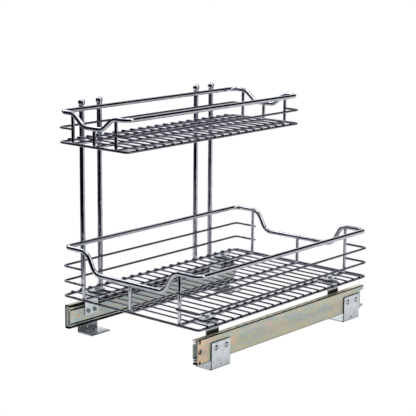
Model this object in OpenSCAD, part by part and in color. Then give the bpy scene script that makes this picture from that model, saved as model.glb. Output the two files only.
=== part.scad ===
// Two tier pull out cabinet basket: a chromed wire tray on ball bearing slides,
// with a half width wire shelf on four posts above its left side.
// The origin is on the cabinet floor at the middle of the four foot screws.
// X points to the right, Y to the back of the cabinet and Z up.

/* [Basket] */
// Width between the centres of the side top rails
basket_w = 302.8; // [260:0.1:360]
// Depth between the centres of the front and rear top rails
basket_d = 457; // [420:1:520]
// Height of the top rail above the floor frame
basket_h = 85; // [70:0.5:110]
// Height of the upper side rails above the floor frame
high_rail_z = 52.8; // [45:0.1:60]
// Height of the lower side rails above the floor frame
low_rail_z = 26; // [18:0.5:35]
// Distance from the middle to the outer legs
leg_x = 108.7; // [95:0.1:118]
// Dip of the top rail at the front and the rear
basket_dip = 36.4; // [32:0.1:42]
// Slope of the top rail where it dips
basket_slope = 62; // [50:1:66]
// Distance from the middle to the upper end of each slope
basket_dip_x = 98.3; // [90:0.1:112]
// Distance that the basket stands ahead of the middle of the feet
basket_shift = 6.3; // [0:0.1:12]

/* [Floor wires] */
// Number of floor wires in the basket
floor_count = 21; // [21:2:23]
// Distance from the front top rail to the first floor wire
floor_margin = 18.3; // [14:0.1:24]
// Number of floor wires in the shelf
shelf_floor_count = 20; // [20:1:22]
// Distance from the shelf's front top rail to its first floor wire
shelf_floor_margin = 21; // [15:0.1:24]

/* [Shelf] */
// Width between the centres of the shelf's side top rails
shelf_w = 153; // [140:0.5:170]
// Depth between the centres of the shelf's front and rear top rails
shelf_d = 448; // [420:1:500]
// Height of the shelf's top rail above its floor frame
shelf_h = 51.2; // [46:0.1:60]
// Height of the shelf's side rails above its floor frame
shelf_rail_z = 25; // [20:0.5:30]
// Height of the shelf's floor frame above the basket's floor frame
shelf_lift = 266.5; // [220:0.5:320]
// Distance from the shelf's middle to its outer legs
shelf_leg_x = 50; // [44:0.5:54]
// Dip of the shelf's top rail at the front and the rear
shelf_dip = 20.6; // [18:0.1:24]
// Slope of the shelf's top rail where it dips
shelf_slope = 40; // [36:1:50]
// Distance from the shelf's middle to the upper end of each slope
shelf_dip_x = 46; // [44:0.5:52]

/* [Wires] */
// Diameter of the top rails
rail_d = 8; // [7:0.1:9]
// Diameter of the side rails
side_d = 4; // [3.5:0.1:4.5]
// Diameter of the floor frames
frame_d = 4.5; // [4:0.1:5]
// Diameter of the floor wires
floor_d = 3; // [2.5:0.1:3.5]
// Diameter of the legs and the runners under the floor
leg_d = 6; // [5.5:0.1:6.5]
// Bend radius of the top rails at the corners
rail_bend = 13; // [10:0.5:18]
// Bend radius of the top rail where it dips
dip_bend = 22; // [14:0.5:24]
// Bend radius of the shelf's top rail where it dips
shelf_dip_bend = 22; // [14:0.5:24]
// Bend radius of the side rails and the floor frames at the corners
side_bend = 7; // [5:0.5:10]
// Bend radius of the runners at the feet of the legs
leg_bend = 5; // [4:0.5:7]
// Depth that welded wires sink into each other
weld = 0.3; // [0.2:0.05:0.4]
// Depth that a leg's end sinks into the top rail
leg_weld = 1.2; // [0.8:0.1:1.6]

/* [Posts] */
// Diameter of the posts
post_d = 9; // [8:0.1:10]
// Diameter of the ball caps
cap_d = 12.6; // [11.5:0.1:15]
// Height of the caps' middle above the shelf's top rail
cap_lift = 9.6; // [8:0.1:14]
// Length of the posts below the basket's floor frame
post_tail = 3; // [1:0.1:5]

/* [Slides] */
// Length of the cabinet member of each slide
slide_len = 457; // [430:1:520]
// Height of the cabinet member
slide_h = 42; // [40:0.1:46]
// Thickness of a closed slide
slide_t = 12.7; // [12.6:0.1:14]
// Sheet thickness of the slide members
slide_sheet = 1.2; // [1:0.05:1.25]
// Outer bend radius of the slide members
slide_bend = 2; // [1.6:0.1:2.2]
// Height of the slides' underside above the cabinet floor
slide_lift = 15.5; // [10:0.5:20]
// Distance that the slides stand out past the side top rails
slide_out = 0.6; // [0:0.1:3]
// Distance that the slides stand ahead of the middle of the feet
slide_shift = 7.7; // [0:0.1:12]
// Diameter of the balls between the cabinet and middle members
outer_ball_d = 2.6; // [2.4:0.05:2.8]
// Diameter of the balls between the middle and basket members
inner_ball_d = 2.2; // [2:0.05:2.4]
// Sheet thickness of the ball cages
cage_sheet = 0.6; // [0.5:0.05:0.7]
// Number of balls in each row
ball_count = 8; // [4:1:12]
// Running gap between pieces that slide past each other
running_gap = 0.3; // [0.25:0.01:0.35]
// Travel of the basket, which leaves the rest of a slide's length to its ball cages
travel = 430; // [380:1:430]

/* [Feet] */
// Distance between the middles of the front and rear feet
foot_spread = 364; // [340:1:380]
// Width of each foot along the slide
foot_w = 46; // [40:0.5:50]
// Height of each foot
foot_h = 45.7; // [40:0.1:48]
// Depth of each foot's floor flange, with the plate
foot_flange = 34; // [30:0.5:40]
// Sheet thickness of the feet
foot_sheet = 2; // [1.6:0.1:2.3]
// Inner bend radius of the feet
foot_bend = 1; // [0.5:0.1:2]
// Diameter of the floor screw hole in each foot
foot_hole_d = 5.5; // [4:0.1:6]
// Diameter of the small round hole low in each plate
dimple_d = 3.2; // [2:0.1:4]
// Diameter of the rivets' heads
rivet_head_d = 10; // [9:0.1:11]
// Diameter of the rivets' shanks
rivet_d = 5; // [4:0.1:6]
// Distance between the two rivets of a foot
rivet_spread = 25; // [22:0.5:28]
// Distance from a foot's top edge to its rivets
rivet_drop = 9.8; // [7:0.1:11]

/* [Carrier brackets] */
// Width of each bracket along the slide
carrier_w = 31; // [28:0.5:34]
// Sheet thickness of the brackets
carrier_sheet = 2; // [1.8:0.1:2.3]
// Height of the brackets' tabs above the slides
carrier_rise = 18.2; // [16:0.1:22]
// Depth that the brackets reach down beside the slides
carrier_drop = 24.5; // [22:0.5:30]
// Distance from the front top rail to the middle of the front brackets
carrier_front = 48.1; // [40:0.1:60]
// Distance from the rear top rail to the middle of the rear brackets
carrier_rear = 79.1; // [60:0.1:90]
// Distance between the two screws of a bracket
screw_spread = 15.8; // [14:0.1:18]
// Diameter of the screws' heads
screw_head_d = 7; // [6:0.1:8]
// Height of the screws' heads
screw_head_h = 2; // [1.5:0.1:2.4]
// Diameter of the screws' shanks
screw_d = 4; // [3.5:0.1:4.5]
// Width of the clamps on the floor wires
clamp_w = 12; // [10:0.5:14]
// Length of the clamps on the floor wires
clamp_len = 30; // [28:0.5:34]
// Sheet thickness of the clamps
clamp_sheet = 1.5; // [1.2:0.1:2]

/* [Hidden] */
$fn = 32;

// Overrun of every cut past the face that it opens
eps = 0.5;

// Colours of the finishes
chrome = "#c9ccd2";
zinc = "#c3ccd4";
yellow_zinc = "#b7ab8e";
steel = "#8f9296";
plastic = "#2f3236";

// Distances between the layers of welded wires, from centre to centre
frame_to_floor = (frame_d + floor_d) / 2 - weld;
floor_to_runner = (floor_d + leg_d) / 2 - weld;
leg_to_side = (leg_d + side_d) / 2 - weld;

// Depth that the brackets and their clamps press into the floor wires
clamp_nip = 0.1;

// Heights above the cabinet floor
slide_mid_z = slide_lift + slide_h / 2;
slide_top_z = slide_lift + slide_h;
tab_top_z = slide_top_z + carrier_rise;
basket_z = tab_top_z + floor_d / 2 - clamp_nip - frame_to_floor;
shelf_z = basket_z + shelf_lift;

// Places of the slides across and along the cabinet
slide_x = basket_w / 2 + slide_out;
slide_inner_x = slide_x - slide_t;
slide_front_y = -slide_shift - slide_len / 2;
slide_rear_y = slide_front_y + slide_len;

// Floor wires and the middles of the basket and the shelf
basket_y = -basket_shift;
floor_pitch = (basket_d - 2 * floor_margin) / (floor_count - 1);
floor_front_y = basket_y - basket_d / 2 + floor_margin;
// Posts stand in the gaps between floor wires, at these pitches from the first and last wires
front_post_shares = [1.5, 3.5];
rear_post_shares = [4.5, 2.5];
floor_rear_y = floor_front_y + (floor_count - 1) * floor_pitch;
post_y = concat([for (k = front_post_shares) floor_front_y + k * floor_pitch],
                [for (k = rear_post_shares) floor_rear_y - k * floor_pitch]);
shelf_y = (post_y[0] + post_y[3]) / 2;
shelf_x = (shelf_w - basket_w) / 2;

// Side faces of all rails and frames lie in one plane, which the posts touch
rail_out = rail_d / 2;
post_x = -basket_w / 2 - rail_out - post_d / 2 + weld;
post_bottom_z = basket_z - frame_d / 2 - post_tail;
cap_z = shelf_z + shelf_h + cap_lift;
cap_wall = (cap_d - post_d) / 2;
cap_seat = cap_wall + weld;

// A runner's bend touches the floor frame, which sets how far in the legs stand
leg_reach = leg_bend + (leg_d + frame_d) / 2 - weld;
leg_fall = leg_bend - (leg_d - frame_d) / 2;
leg_in = sqrt(leg_reach * leg_reach - leg_fall * leg_fall) - leg_bend;

// Slide members: the middle one runs in the outer one and the inner one in that
outer_gap = outer_ball_d + 2 * running_gap;
inner_gap = inner_ball_d + 2 * running_gap;
cage_room = cage_sheet + 2 * running_gap;
middle_h = slide_h - 2 * slide_sheet - 2 * outer_gap;
inner_h = middle_h - 2 * slide_sheet - 2 * inner_gap;
middle_u = slide_sheet + cage_room;
inner_u = middle_u + slide_sheet + cage_room;
middle_set_back = 0.8;
outer_depth = slide_t - slide_sheet - running_gap / 2;
middle_depth = slide_t - middle_set_back - middle_u;
inner_depth = slide_t - inner_u;
outer_lip = outer_gap / 2;
middle_lip = inner_gap / 3;
front_set_back = 1;
member_front_y = slide_front_y + front_set_back;

// Rear end of the cabinet member: a long top lip, a stop tab and a plastic buffer
tail_len = 10;
tail_h = 8;
tab_h = 5;
tab_len = 8.6;
tab_drop = 39;
buffer_len = 6;
buffer_h = 16;
web_end_y = slide_rear_y - tail_len;
member_rear_y = web_end_y - buffer_len - running_gap;
member_len = member_rear_y - member_front_y;

// The cages stay inside both of their members over the whole travel
cage_spare = 24.7;
cage_len = member_len - travel / 2 - cage_spare;
cage_y = (member_front_y + member_rear_y) / 2;
outer_cage_u = slide_sheet + running_gap;
outer_cage_h = middle_h + outer_gap + cage_sheet;
outer_cage_depth = outer_depth - slide_sheet - running_gap - outer_cage_u;
outer_ball_u = (middle_u + outer_depth) / 2;
inner_cage_u = middle_u + slide_sheet + running_gap;
inner_cage_h = inner_h + inner_gap + cage_sheet;
inner_cage_depth = middle_u + middle_depth - slide_sheet - running_gap - inner_cage_u;
inner_ball_u = (inner_u + middle_u + middle_depth) / 2;

// Openings in the front end of the cabinet member
key_w = 5;
key_h = 5.5;
key_y = 5.5;
key_rise = 1.4;
pip_d = 2;
pip_y = 4.2;
pip_rises = [13, 16.5, -18];

// Countersunk rivets of the feet
rivet_sink = (rivet_head_d - rivet_d) / 4;
rivet_grip = foot_sheet + slide_sheet;
rivet_dish = rivet_sink / 2;
dimple_rise = 6.2;

// Brackets on the slides, and screws through the brackets
carrier_y = [basket_y - basket_d / 2 + carrier_front, basket_y + basket_d / 2 - carrier_rear];
carrier_key_rise = 4;
screw_z = slide_mid_z + carrier_key_rise;
screw_tip = 1;
screw_slot = 1;

// Clamps that hold the floor wires down on the brackets' tabs, each over two wires
function gap_y(y) =
    floor_front_y + (round((y - floor_front_y) / floor_pitch - 1 / 2) + 1 / 2) * floor_pitch;
clamp_y = [for (y = carrier_y) gap_y(y)];
clamp_z = tab_top_z + floor_d - 2 * clamp_nip;
clamp_corner = 2;
tab_clearance = 0.8;
tab_end_x = leg_x + leg_d / 2 + tab_clearance;
clamp_x = (tab_end_x + slide_inner_x) / 2;

// Unit vector, turn of a path at b, and length that a bend takes off each side of b
function unit(v) = v / norm(v);
function turn(a, b, c) = acos(max(-1, min(1, unit(b - a) * unit(c - b))));
function trim(a, b, c, r) = r * tan(turn(a, b, c) / 2);

// Angles that turn the standard axes onto three given axes
upright_share = 0.999999;
function pose_angles(x, y, z) =
    abs(x[2]) > upright_share
    ? [atan2(-z[1], y[1]), x[2] > 0 ? -90 : 90, 0]
    : [atan2(y[2], z[2]), -asin(x[2]), atan2(x[1], x[0])];

// A bend is a hair thicker than the straight wire, which runs a hair into it
bend_swell = 0.04;
bend_lap = 0.05;

// Turn of a bar about itself, which keeps its seam off the bends' seams
seam_turn = 45;

// Straight round bar from a to b
module bar(a, b, d) {
    v = b - a;
    translate(a)
        rotate([0, acos(v[2] / norm(v)), atan2(v[1], v[0])])
            rotate([0, 0, seam_turn])
                cylinder(d = d, h = norm(v));
}

// Round elbow at b, between the lines from a and to c
module elbow(a, b, c, d, r) {
    u = unit(b - a);
    w = unit(c - b);
    t = turn(a, b, c);
    centre = b + unit(w - u) * r / cos(t / 2);
    x = unit(b - u * trim(a, b, c, r) - centre);
    z = unit(cross(u, w));
    translate(centre)
        rotate(pose_angles(x, cross(z, x), z))
            rotate_extrude(angle = t)
                translate([r, 0])
                    circle(d = d + bend_swell);
}

// Bent wire through the points p, with the bend radii r at its inner points
module wire(p, r, d) {
    n = len(p);
    cut = [for (i = [0 : n - 1])
        i == 0 || i == n - 1 ? 0 : trim(p[i - 1], p[i], p[i + 1], r[i]) - bend_lap];
    for (i = [0 : n - 2]) {
        v = unit(p[i + 1] - p[i]);
        bar(p[i] + v * cut[i], p[i + 1] - v * cut[i + 1], d);
    }
    for (i = [1 : 1 : n - 2])
        elbow(p[i - 1], p[i], p[i + 1], d, r[i]);
}

// Closed bent wire through the points p, with the bend radii r
module ring(p, r, d) {
    n = len(p);
    cut = [for (i = [0 : n - 1])
        trim(p[(i + n - 1) % n], p[i], p[(i + 1) % n], r[i]) - bend_lap];
    for (i = [0 : n - 1]) {
        k = (i + 1) % n;
        v = unit(p[k] - p[i]);
        bar(p[i] + v * cut[i], p[k] - v * cut[k], d);
        elbow(p[(i + n - 1) % n], p[i], p[k], d, r[i]);
    }
}

// Top rail of a tray: a ring that dips at the front and the rear
module top_rail(w, d, z, dip, slope, dip_x, bend) {
    low_x = dip_x - dip / tan(slope);
    front = [[-w / 2, -d / 2, z], [-dip_x, -d / 2, z], [-low_x, -d / 2, z - dip],
             [low_x, -d / 2, z - dip], [dip_x, -d / 2, z], [w / 2, -d / 2, z]];
    rear = [for (q = front) [-q[0], -q[1], q[2]]];
    bends = [rail_bend, bend, bend, bend, bend, rail_bend];
    color(chrome) ring(concat(front, rear), concat(bends, bends), rail_d);
}

// Side rail of a tray's right side, wrapped round both corners to the outer legs
module side_rail(w, d, z, lx) {
    x = w / 2 + rail_out - side_d / 2;
    y = d / 2 + rail_out - frame_d / 2 - leg_in + leg_to_side;
    end_x = lx - leg_d / 2;
    color(chrome)
        wire([[end_x, -y, z], [x, -y, z], [x, y, z], [end_x, y, z]],
             [0, side_bend, side_bend, 0], side_d);
}

// Floor frame of a tray, a closed rectangle of wire
module floor_frame(w, d) {
    x = w / 2 + rail_out - frame_d / 2;
    y = d / 2 + rail_out - frame_d / 2;
    color(chrome)
        ring([[-x, -y, 0], [x, -y, 0], [x, y, 0], [-x, y, 0]],
             [side_bend, side_bend, side_bend, side_bend], frame_d);
}

// Floor wires of a tray, hooked down over the side wires of its frame
module floor_wires(w, d, count, margin) {
    x = w / 2 + rail_out - frame_d / 2;
    pitch = (d - 2 * margin) / (count - 1);
    color(chrome)
        for (i = [0 : count - 1])
            translate([0, margin - d / 2 + i * pitch, 0]) {
                bar([-x - bend_lap, 0, frame_to_floor], [x + bend_lap, 0, frame_to_floor], floor_d);
                for (side = [0, 1])
                    mirror([side, 0, 0])
                        translate([x, 0, 0])
                            rotate([90, 0, 0])
                                rotate_extrude(angle = 90)
                                    translate([frame_to_floor, 0])
                                        circle(d = floor_d + bend_swell);
            }
}

// Runner under a tray's floor, bent up at both ends into legs of height h
module runner(d, x, h) {
    y = d / 2 + rail_out - frame_d / 2 - leg_in;
    z = frame_to_floor - floor_to_runner;
    top = h - rail_d / 2 + leg_weld;
    color(chrome)
        wire([[x, -y, top], [x, -y, z], [x, y, z], [x, y, top]],
             [0, leg_bend, leg_bend, 0], leg_d);
}

module at_basket() translate([0, basket_y, basket_z]) children();
module at_shelf() translate([shelf_x, shelf_y, shelf_z]) children();
module on_side(side) mirror([side < 0 ? 1 : 0, 0, 0]) children();

// Basket
module basket_top_rail() {
    at_basket()
        top_rail(basket_w, basket_d, basket_h, basket_dip, basket_slope, basket_dip_x, dip_bend);
}
module basket_side_rail(side, z) {
    at_basket() on_side(side) side_rail(basket_w, basket_d, z, leg_x);
}
module basket_floor_frame() { at_basket() floor_frame(basket_w, basket_d); }
module basket_floor_wires() {
    at_basket() floor_wires(basket_w, basket_d, floor_count, floor_margin);
}
module basket_runner(x, dip) { at_basket() runner(basket_d, x, basket_h - dip); }

// Shelf
module shelf_top_rail() {
    at_shelf()
        top_rail(shelf_w, shelf_d, shelf_h, shelf_dip, shelf_slope, shelf_dip_x, shelf_dip_bend);
}
module shelf_side_rail(side) {
    at_shelf() on_side(side) side_rail(shelf_w, shelf_d, shelf_rail_z, shelf_leg_x);
}
module shelf_floor_frame() { at_shelf() floor_frame(shelf_w, shelf_d); }
module shelf_floor_wires() {
    at_shelf() floor_wires(shelf_w, shelf_d, shelf_floor_count, shelf_floor_margin);
}
module shelf_runner(x, dip) { at_shelf() runner(shelf_d, x, shelf_h - dip); }

// Posts, which stand outside the left rails of both trays
module post(i) {
    color(chrome)
        translate([post_x, post_y[i], post_bottom_z])
            cylinder(d = post_d, h = cap_z + cap_d / 2 - cap_seat - post_bottom_z);
}
module post_caps() {
    color(chrome)
        for (y = post_y)
            translate([post_x, y, cap_z])
                difference() {
                    sphere(d = cap_d);
                    translate([0, 0, -cap_d])
                        cylinder(d = post_d, h = cap_d + cap_d / 2 - cap_seat);
                }
}

// Filled rectangle with round corners, from x = 0 and centred on y = 0
module round_plate(w, h, r) {
    translate([r, -h / 2]) square([w - 2 * r, h]);
    translate([0, r - h / 2]) square([w, h - 2 * r]);
    for (x = [r, w - r], y = [r - h / 2, h / 2 - r])
        translate([x, y]) circle(r = r);
}

// Rolled channel: web at x = 0, open at x = depth between two lips
module channel(depth, h, lip) {
    t = slide_sheet;
    difference() {
        round_plate(depth, h, slide_bend);
        translate([t, 0]) round_plate(depth - 2 * t, h - 2 * t, slide_bend - t);
        translate([depth - t - eps, t + lip - h / 2])
            square([t + 2 * eps, h - 2 * t - 2 * lip]);
    }
}

// Outline in the slide's end view, with x counted inward from its outer face, run
// along the slide from y0 over a length on one side of the cabinet
module along_slide(side, y0, length) {
    on_side(side)
        translate([slide_x, y0 + length, slide_mid_z])
            rotate([90, 0, 0])
                mirror([1, 0, 0])
                    linear_extrude(length)
                        children();
}

module outer_slide(side) {
    color(yellow_zinc)
        difference() {
            along_slide(side, slide_front_y, slide_len)
                channel(outer_depth, slide_h, outer_lip);
            // Rear end below the top lip, but for the stop tab
            along_slide(side, web_end_y, tail_len + eps)
                translate([-eps, -slide_h])
                    square([slide_t, slide_h * 3 / 2 - tab_drop]);
            along_slide(side, web_end_y, tail_len + eps)
                translate([-eps, slide_h / 2 - tab_drop + tab_h])
                    square([slide_t, tab_drop - tab_h - tail_h]);
            along_slide(side, web_end_y + tab_len, tail_len)
                translate([-eps, -slide_h / 2])
                    square([slide_t, slide_h - tail_h]);
            // Square key and round pips at the front end
            on_side(side)
                translate([slide_x - slide_sheet - eps, slide_front_y + key_y - key_w / 2,
                           slide_mid_z + key_rise - key_h / 2])
                    cube([slide_sheet + 2 * eps, key_w, key_h]);
            for (rise = pip_rises)
                on_side(side)
                    translate([slide_x + eps, slide_front_y + pip_y, slide_mid_z + rise])
                        rotate([0, -90, 0])
                            cylinder(d = pip_d, h = slide_sheet + 2 * eps);
            for (y = [-1, 1])
                for (k = [-1, 1])
                    on_side(side)
                        translate([slide_x + eps, y * foot_spread / 2 + k * rivet_spread / 2,
                                   foot_h - rivet_drop])
                            rotate([0, -90, 0])
                                cylinder(d = rivet_d, h = slide_sheet + 2 * eps);
        }
}

module slide_buffers() {
    color(plastic)
        for (side = [-1, 1])
            along_slide(side, web_end_y - buffer_len, buffer_len)
                translate([slide_sheet, -buffer_h / 2])
                    square([outer_depth - 2 * slide_sheet, buffer_h]);
}

module middle_slide(side) {
    color(yellow_zinc)
        along_slide(side, member_front_y, member_len)
            translate([middle_u, 0])
                channel(middle_depth, middle_h, middle_lip);
}

module inner_slide(side) {
    color(yellow_zinc)
        difference() {
            along_slide(side, member_front_y, member_len)
                translate([slide_t, 0])
                    mirror([1, 0, 0])
                        channel(inner_depth, inner_h, 0);
            for (y = carrier_y)
                carrier_holes(side, y);
        }
}

// Ball cage: a thin channel that carries two rows of balls in its flanges
module cage(side, u, depth, h, ball_u, ball_d) {
    color(steel)
        difference() {
            along_slide(side, cage_y - cage_len / 2, cage_len)
                translate([u, 0])
                    difference() {
                        translate([0, -h / 2]) square([depth, h]);
                        translate([cage_sheet, cage_sheet - h / 2])
                            square([depth, h - 2 * cage_sheet]);
                    }
            ball_places(side, ball_u)
                translate([0, 0, -h])
                    cylinder(d = ball_d + running_gap, h = 2 * h);
        }
}
module ball_rows(side, h, ball_u, ball_d) {
    color(steel)
        for (k = [-1, 1])
            ball_places(side, ball_u)
                translate([0, 0, k * (h - cage_sheet) / 2])
                    sphere(d = ball_d);
}
module ball_places(side, ball_u) {
    pitch = cage_len / ball_count;
    for (i = [0 : ball_count - 1])
        on_side(side)
            translate([slide_x - ball_u, cage_y - cage_len / 2 + (i + 1 / 2) * pitch, slide_mid_z])
                children();
}

module outer_cage(side) {
    cage(side, outer_cage_u, outer_cage_depth, outer_cage_h, outer_ball_u, outer_ball_d);
}
module outer_balls(side) { ball_rows(side, outer_cage_h, outer_ball_u, outer_ball_d); }
module inner_cage(side) {
    cage(side, inner_cage_u, inner_cage_depth, inner_cage_h, inner_ball_u, inner_ball_d);
}
module inner_balls(side) { ball_rows(side, inner_cage_h, inner_ball_u, inner_ball_d); }

// Bent strip in end view: a wall of height h and a flange of depth w, from the outer corner
module angle_outline(w, h, t, r) {
    translate([0, r + t]) square([t, h - r - t]);
    translate([r + t, 0]) square([w - r - t, t]);
    translate([r + t, r + t])
        intersection() {
            difference() {
                circle(r = r + t);
                circle(r = r);
            }
            translate([-r - t, -r - t]) square(r + t);
        }
}

// Foot: a plate on the slide's outer face, with a flange turned in on the cabinet floor
module foot(side, end) {
    y0 = end * foot_spread / 2;
    flange_mid = foot_flange / 2 + foot_sheet;
    color(zinc)
        on_side(side)
            translate([slide_x + foot_sheet, y0, 0])
                difference() {
                    translate([0, foot_w / 2, 0])
                        rotate([90, 0, 0])
                            mirror([1, 0, 0])
                                linear_extrude(foot_w)
                                    angle_outline(foot_flange, foot_h, foot_sheet, foot_bend);
                    translate([-flange_mid, 0, -eps])
                        cylinder(d = foot_hole_d, h = foot_sheet + 2 * eps);
                    translate([eps, 0, dimple_rise])
                        rotate([0, -90, 0])
                            cylinder(d = dimple_d, h = foot_sheet + 2 * eps);
                    for (k = [-1, 1])
                        translate([0, k * rivet_spread / 2, foot_h - rivet_drop])
                            rotate([0, -90, 0]) {
                                translate([0, 0, -eps])
                                    cylinder(d = rivet_d, h = foot_sheet + 2 * eps);
                                cylinder(d1 = rivet_head_d, d2 = rivet_d, h = rivet_sink);
                            }
                }
}

// Rivets that join the feet to the slides, with dished countersunk heads
module foot_rivets() {
    color(zinc)
        for (side = [-1, 1], end = [-1, 1], k = [-1, 1])
            on_side(side)
                translate([slide_x + foot_sheet, end * foot_spread / 2 + k * rivet_spread / 2,
                           foot_h - rivet_drop])
                    rotate([0, -90, 0])
                        difference() {
                            union() {
                                cylinder(d = rivet_d, h = rivet_grip);
                                translate([0, 0, rivet_dish / 2])
                                    cylinder(d1 = rivet_head_d - rivet_dish * 2, d2 = rivet_d,
                                             h = rivet_sink - rivet_dish / 2);
                            }
                            translate([0, 0, -eps])
                                cylinder(d = rivet_d - rivet_dish, h = eps + rivet_dish);
                        }
}

// Screw holes through a bracket's wall and the slide member behind it
module carrier_holes(side, y) {
    for (k = [-1, 1])
        on_side(side)
            translate([slide_inner_x - carrier_sheet - eps, y + k * screw_spread / 2, screw_z])
                rotate([0, 90, 0])
                    cylinder(d = screw_d, h = carrier_sheet + slide_sheet + 2 * eps);
}

// Bracket that carries the basket: a wall on the slide and a tab under the floor wires
module carrier(side, end) {
    color(zinc)
        difference() {
            on_side(side)
                translate([slide_inner_x, carrier_y[end] + carrier_w / 2, tab_top_z])
                    rotate([90, 0, 0])
                        mirror([1, 0, 0])
                            mirror([0, 1, 0])
                                linear_extrude(carrier_w)
                                    angle_outline(slide_inner_x - tab_end_x,
                                                  carrier_rise + carrier_drop,
                                                  carrier_sheet, foot_bend);
            carrier_holes(side, carrier_y[end]);
            on_side(side)
                translate([clamp_x, clamp_y[end], tab_top_z - carrier_sheet - eps])
                    cylinder(d = screw_d, h = carrier_sheet + 2 * eps);
        }
}

module carrier_screws() {
    color(zinc)
        for (side = [-1, 1], y = carrier_y, k = [-1, 1])
            on_side(side)
                translate([slide_inner_x - carrier_sheet, y + k * screw_spread / 2, screw_z])
                    rotate([0, -90, 0])
                        slotted_screw(carrier_sheet + slide_sheet + screw_tip);
}

// Screw with its head above z = 0 and its shank below
module slotted_screw(length) {
    mirror([0, 0, 1]) cylinder(d = screw_d, h = length);
    difference() {
        cylinder(d = screw_head_d, h = screw_head_h);
        translate([-screw_head_d, -screw_slot / 2, screw_head_h - screw_slot])
            cube([2 * screw_head_d, screw_slot, screw_slot + eps]);
    }
}

// Clamps across two floor wires, with a screw between the wires into the bracket's tab
module floor_clamps() {
    color(zinc)
        for (side = [-1, 1], y = clamp_y)
            on_side(side)
                translate([clamp_x, y, clamp_z])
                    difference() {
                        translate([-clamp_w / 2, 0, 0])
                            linear_extrude(clamp_sheet)
                                round_plate(clamp_w, clamp_len, clamp_corner);
                        translate([0, 0, -eps])
                            cylinder(d = screw_d, h = clamp_sheet + 2 * eps);
                    }
}
module clamp_screws() {
    color(zinc)
        for (side = [-1, 1], y = clamp_y)
            on_side(side)
                translate([clamp_x, y, clamp_z + clamp_sheet])
                    slotted_screw(clamp_z + clamp_sheet - tab_top_z + carrier_sheet + screw_tip);
}

outer_slide(-1);  // outer_slide_left
outer_slide(1);  // outer_slide_right
slide_buffers();
foot(-1, -1);  // foot_front_left
foot(1, -1);  // foot_front_right
foot(-1, 1);  // foot_rear_left
foot(1, 1);  // foot_rear_right
foot_rivets();
middle_slide(-1);  // middle_slide_left
middle_slide(1);  // middle_slide_right
outer_cage(-1);  // outer_cage_left
outer_cage(1);  // outer_cage_right
outer_balls(-1);  // outer_balls_left
outer_balls(1);  // outer_balls_right
inner_cage(-1);  // inner_cage_left
inner_cage(1);  // inner_cage_right
inner_balls(-1);  // inner_balls_left
inner_balls(1);  // inner_balls_right
inner_slide(-1);  // inner_slide_left
inner_slide(1);  // inner_slide_right
carrier(-1, 0);  // carrier_front_left
carrier(1, 0);  // carrier_front_right
carrier(-1, 1);  // carrier_rear_left
carrier(1, 1);  // carrier_rear_right
carrier_screws();
floor_clamps();
clamp_screws();
basket_top_rail();
basket_side_rail(-1, high_rail_z);  // basket_high_rail_left
basket_side_rail(1, high_rail_z);  // basket_high_rail_right
basket_side_rail(-1, low_rail_z);  // basket_low_rail_left
basket_side_rail(1, low_rail_z);  // basket_low_rail_right
basket_floor_frame();
basket_floor_wires();
basket_runner(-leg_x, 0);  // basket_runner_left
basket_runner(0, basket_dip);  // basket_runner_middle
basket_runner(leg_x, 0);  // basket_runner_right
post(0);  // post_1
post(1);  // post_2
post(2);  // post_3
post(3);  // post_4
post_caps();
shelf_top_rail();
shelf_side_rail(-1);  // shelf_side_rail_left
shelf_side_rail(1);  // shelf_side_rail_right
shelf_floor_frame();
shelf_floor_wires();
shelf_runner(-shelf_leg_x, 0);  // shelf_runner_left
shelf_runner(0, shelf_dip);  // shelf_runner_middle
shelf_runner(shelf_leg_x, 0);  // shelf_runner_right
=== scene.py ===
"""Pull out cabinet basket: a chromed wire tray on ball bearing slides, with a half width
wire shelf on four posts, on a pale studio floor.

Lengths and places are in millimetres here and become metres when a mesh is written. Only the
studio is in metres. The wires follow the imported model's own centrelines. X is right, Y is back
and Z is up.
"""

import math

import bpy
import numpy as np
from mathutils import Matrix


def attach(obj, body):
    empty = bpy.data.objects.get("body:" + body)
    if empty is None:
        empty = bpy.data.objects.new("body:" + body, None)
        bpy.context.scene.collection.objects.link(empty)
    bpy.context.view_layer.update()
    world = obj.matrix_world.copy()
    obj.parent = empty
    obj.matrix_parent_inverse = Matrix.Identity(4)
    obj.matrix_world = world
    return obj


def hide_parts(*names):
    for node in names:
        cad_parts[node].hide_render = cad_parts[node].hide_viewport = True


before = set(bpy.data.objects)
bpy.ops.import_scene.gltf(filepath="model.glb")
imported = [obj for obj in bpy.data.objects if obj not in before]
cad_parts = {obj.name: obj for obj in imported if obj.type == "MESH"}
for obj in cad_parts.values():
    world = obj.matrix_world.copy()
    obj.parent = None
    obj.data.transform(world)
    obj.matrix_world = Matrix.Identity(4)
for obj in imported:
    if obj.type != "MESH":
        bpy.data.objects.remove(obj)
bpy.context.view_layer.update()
MM = 0.001

# Trays: middle of the floor frame, size between rail centres, height of the top rail above the
# frame, then its dips' depth, slope in degrees, start and bends, the side rails' heights, how many
# floor wires there are, the first one's distance from the end, and the outer legs' place
BASKET = {"at": (0.0, -6.3, 73.65), "width": 302.8, "depth": 457.0, "height": 85.0, "dip": 36.4,
          "slope": 62.0, "dip_x": 98.3, "dip_bend": 22.0, "rails": (52.8, 26.0), "wires": 21,
          "margin": 18.3, "leg_x": 108.7}
SHELF = {"at": (-74.9, -16.81, 340.15), "width": 153.0, "depth": 448.0, "height": 51.2, "dip": 20.6,
         "slope": 40.0, "dip_x": 46.0, "dip_bend": 22.0, "rails": (25.0,), "wires": 20,
         "margin": 21.0, "leg_x": 50.0}

# Wire diameters and bend radii
RAIL_D, SIDE_D, FRAME_D, FLOOR_D, LEG_D, POST_D, CAP_D = 8.0, 4.0, 4.5, 3.0, 6.0, 9.0, 12.6
RAIL_BEND, SIDE_BEND, LEG_BEND = 13.0, 7.0, 5.0
# Straight run that is left below the bend of a floor wire's hook
HOOK_RUN = 0.02

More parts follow.
